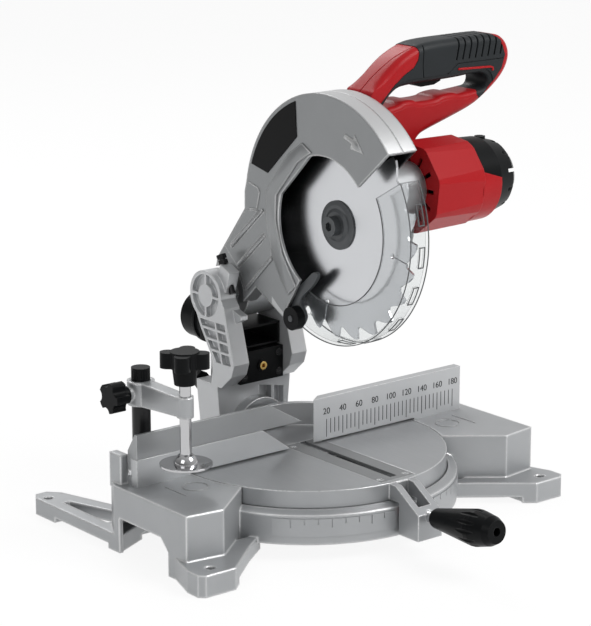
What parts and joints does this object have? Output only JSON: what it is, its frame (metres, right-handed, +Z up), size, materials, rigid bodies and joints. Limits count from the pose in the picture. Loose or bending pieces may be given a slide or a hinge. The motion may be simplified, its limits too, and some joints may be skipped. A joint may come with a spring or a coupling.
{
  "type": "mitre saw",
  "caption": "Bench mitre saw with a tilting, hinged blade head over a turning table, guarded blade, split fence, hold-down clamp and D-handle with motor.",
  "frame": {"origin": "centre of the bench bolt holes, on the bench plane", "axes": "+X to the operator's right, +Y away from the operator, +Z up"},
  "size_m": [0.434, 0.4286, 0.4434],
  "materials": {
    "cast_alloy": "fine cast, silver grey",
    "dark_alloy": "dark satin",
    "steel": "turned steel",
    "scale_plate": "satin strip",
    "chrome": "polished",
    "brass": "turned",
    "red_plastic": "satin red",
    "black_plastic": "moulded black",
    "black_steel": "black oxide",
    "black_rubber": "soft grip",
    "clear_plastic": "clear polycarbonate"
  },
  "bodies": {
    "base": {"base_casting": "cast_alloy", "fence": "cast_alloy", "fence_bolts": "steel", "table_pivot_bolt": "steel", "mitre_scale": "scale_plate"},
    "clamp_post": {"clamp_post": "black_steel", "clamp_post_cap": "black_plastic"},
    "clamp_arm": {"clamp_arm": "cast_alloy"},
    "clamp_side_knob": {"clamp_side_knob": "black_plastic"},
    "clamp_pad": {"clamp_pad": "chrome"},
    "clamp_screw": {"clamp_screw": "chrome", "clamp_knob": "black_plastic"},
    "sliding_fence": {"sliding_fence": "cast_alloy"},
    "fence_lock_knob": {"fence_lock_knob": "black_plastic"},
    "turntable": {"turntable": "cast_alloy", "kerf_insert": "dark_alloy", "insert_screws": "steel", "mitre_pointer": "red_plastic", "tilt_pivot_bolt": "steel"},
    "mitre_lock": {"mitre_lock_rod": "steel", "mitre_lock_handle": "black_plastic"},
    "tilt_arm": {"tilt_arm": "cast_alloy", "tilt_scale": "scale_plate", "laser_housing": "black_plastic", "laser_lens": "brass", "laser_screws": "black_steel", "head_pivot_pin": "steel", "return_spring": "steel", "depth_stop_bolts": "black_steel", "dust_port": "black_plastic"},
    "tilt_lock_lever": {"tilt_lock_lever": "black_plastic"},
    "head": {"upper_guard": "cast_alloy", "gear_case": "cast_alloy", "guard_plate": "black_plastic", "guard_screws": "steel", "motor_housing": "red_plastic", "motor_end_cap": "black_plastic", "motor_stator": "steel", "brush_caps": "black_plastic", "handle_front": "red_plastic", "handle_rear": "red_plastic", "handle_grip": "black_rubber", "handle_screws": "steel", "cord_inlet": "black_rubber", "ball_bearings": "steel"},
    "trigger": {"trigger": "black_plastic"},
    "lock_off_button": {"lock_off_button": "red_plastic"},
    "spindle_lock_button": {"spindle_lock_button": "black_plastic"},
    "spindle": {"spindle": "steel", "blade": "steel", "inner_flange": "dark_alloy", "outer_flange": "dark_alloy", "arbor_bolt": "dark_alloy", "drive_gear": "steel"},
    "armature": {"armature": "steel", "cooling_fan": "black_plastic"},
    "lower_guard": {"lower_guard": "clear_plastic", "guard_lever": "dark_alloy"},
    "guard_roller": {"guard_roller": "black_plastic"}
  },
  "joints": [
    {"name": "mitre_turn", "type": "hinge", "parent": "base", "child": "turntable", "pos_m": [0, -0.015, 0.062], "axis": [0, 0, -1], "range_deg": [-45, 45]},
    {"name": "tilt", "type": "hinge", "parent": "turntable", "child": "tilt_arm", "pos_m": [0.004, 0.085, 0.062], "axis": [0, -1, 0], "range_deg": [0, 45]},
    {"name": "head_swing", "type": "hinge", "parent": "tilt_arm", "child": "head", "pos_m": [0.004, 0.088, 0.194], "axis": [1, 0, 0], "range_deg": [0, 42], "stiffness_Nm_per_rad": 6, "springref_deg": -91.67},
    {"name": "lower_guard_swing", "type": "hinge", "parent": "head", "child": "lower_guard", "pos_m": [0.004, -0.057, 0.281], "axis": [-1, 0, 0], "range_deg": [0, 125]},
    {"name": "guard_roller_spin", "type": "hinge", "parent": "lower_guard", "child": "guard_roller", "pos_m": [-0.016, -0.016, 0.189], "axis": [1, 0, 0], "continuous": true},
    {"name": "blade_spin", "type": "hinge", "parent": "head", "child": "spindle", "pos_m": [0.004, -0.057, 0.281], "axis": [1, 0, 0], "continuous": true},
    {"name": "motor_spin", "type": "hinge", "parent": "head", "child": "armature", "pos_m": [0.004, -0.101, 0.317], "axis": [1, 0, 0], "continuous": true},
    {"name": "trigger_squeeze", "type": "hinge", "parent": "head", "child": "trigger", "pos_m": [0.084, -0.064, 0.421], "axis": [0, -1, 0], "range_deg": [0, 7], "stiffness_Nm_per_rad": 0.8, "springref_deg": -20.05},
    {"name": "lock_off_press", "type": "slide", "parent": "head", "child": "lock_off_button", "axis": [0, -1, 0], "range_m": [0, 0.003], "stiffness_N_per_m": 300, "springref_m": -0.003},
    {"name": "spindle_lock_press", "type": "slide", "parent": "head", "child": "spindle_lock_button", "axis": [-1, 0, 0], "range_m": [0, 0.006], "stiffness_N_per_m": 300, "springref_m": -0.004},
    {"name": "mitre_lock_turn", "type": "hinge", "parent": "turntable", "child": "mitre_lock", "pos_m": [0.003, -0.189, 0.0384], "axis": [0, -0.9945, 0.1045], "range_deg": [0, 180]},
    {"name": "tilt_lock_turn", "type": "hinge", "parent": "tilt_arm", "child": "tilt_lock_lever", "pos_m": [0.004, 0.115, 0.062], "axis": [0, 1, 0], "range_deg": [0, 60]},
    {"name": "fence_slide", "type": "slide", "parent": "base", "child": "sliding_fence", "axis": [-1, 0, 0], "range_m": [0, 0.06]},
    {"name": "fence_lock_turn", "type": "hinge", "parent": "base", "child": "fence_lock_knob", "pos_m": [-0.14, 0, 0.082], "axis": [0, 1, 0], "range_deg": [0, 180]},
    {"name": "clamp_swing", "type": "hinge", "parent": "base", "child": "clamp_post", "pos_m": [-0.168, 0.014, 0.062], "axis": [0, 0, -1], "range_deg": [0, 90]},
    {"name": "clamp_arm_slide", "type": "slide", "parent": "clamp_post", "child": "clamp_arm", "axis": [0, 0, -1], "range_m": [0, 0.015]},
    {"name": "clamp_side_turn", "type": "hinge", "parent": "clamp_arm", "child": "clamp_side_knob", "pos_m": [-0.188, 0.014, 0.14], "axis": [1, 0, 0], "range_deg": [0, 180]},
    {"name": "clamp_feed", "type": "slide", "parent": "clamp_arm", "child": "clamp_pad", "axis": [0, 0, -1], "range_m": [0, 0.01]},
    {"name": "clamp_screw_turn", "type": "hinge", "parent": "clamp_pad", "child": "clamp_screw", "pos_m": [-0.168, -0.053, 0.062], "axis": [0, 0, -1], "range_deg": [0, 1810]}
  ],
  "couplings": [
    {"joint": "lower_guard_swing", "follows": "head_swing", "ratio": 2.95},
    {"joint": "motor_spin", "follows": "blade_spin", "ratio": -3.3333},
    {"joint": "clamp_screw_turn", "follows": "clamp_feed", "rad_per_m": 3141.6}
  ]
}
